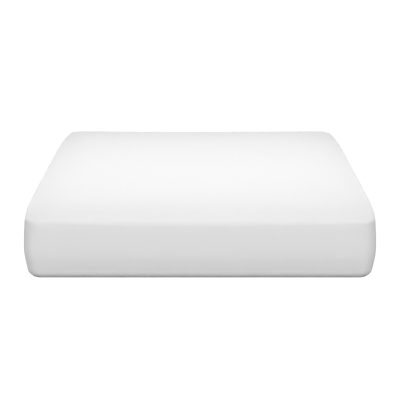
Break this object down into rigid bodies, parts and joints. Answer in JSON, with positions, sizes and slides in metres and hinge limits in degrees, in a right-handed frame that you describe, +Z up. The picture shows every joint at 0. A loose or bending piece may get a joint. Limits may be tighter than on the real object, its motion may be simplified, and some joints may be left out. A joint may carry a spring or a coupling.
{
  "type": "memory foam mattress",
  "caption": "Plain white memory foam mattress: layered foam core in a knitted sleeve, inside a stretch-knit cover with a softly crowned top, rounded corners and a zip across the head end.",
  "frame": {"origin": "middle of the underside, on the surface the mattress rests on", "axes": "+Z up through the thickness, +Y along the length from the foot end to the head end, +X across the width"},
  "size_m": [1.524, 2.032, 0.264],
  "materials": {
    "knit_cover": "matte",
    "base_fabric": "matte",
    "sewing_thread": "satin",
    "label_fabric": "matte",
    "zip_tape": "matte",
    "nylon_coil": "satin",
    "zinc_alloy": "satin",
    "sleeve_knit": "matte",
    "sleeve_thread": "matte",
    "memory_foam": "matte",
    "transition_foam": "matte",
    "base_foam": "matte",
    "adhesive": "matte"
  },
  "bodies": {
    "mattress": {"cover_top_panel": "knit_cover", "cover_border": "knit_cover", "cover_bottom_panel": "base_fabric", "top_edge_seam_thread": "sewing_thread", "bottom_edge_seam_thread": "sewing_thread", "border_join_thread": "sewing_thread", "law_label": "label_fabric", "zip_upper_tape": "zip_tape", "zip_lower_tape": "zip_tape", "zip_upper_coil": "nylon_coil", "zip_lower_coil": "nylon_coil", "zip_top_stops": "zinc_alloy", "zip_bottom_stop": "zinc_alloy", "zip_stitching": "sewing_thread", "inner_sleeve": "sleeve_knit", "sleeve_head_seam": "sleeve_thread", "sleeve_foot_seam": "sleeve_thread", "memory_foam_layer": "memory_foam", "upper_adhesive_film": "adhesive", "transition_foam_layer": "transition_foam", "lower_adhesive_film": "adhesive", "base_foam_layer": "base_foam"},
    "zip_slider": {"zip_slider_body": "zinc_alloy"},
    "zip_pull": {"zip_pull_tab": "zinc_alloy"}
  },
  "joints": [
    {"name": "zip_slide", "type": "slide", "parent": "mattress", "child": "zip_slider", "axis": [-1, 0, 0], "range_m": [0, 1.186]},
    {"name": "pull_swing", "type": "hinge", "parent": "zip_slider", "child": "zip_pull", "pos_m": [0.593, 1.0109, 0.05359], "axis": [0, 0.1822, 0.9833], "range_deg": [0, 180]}
  ]
}
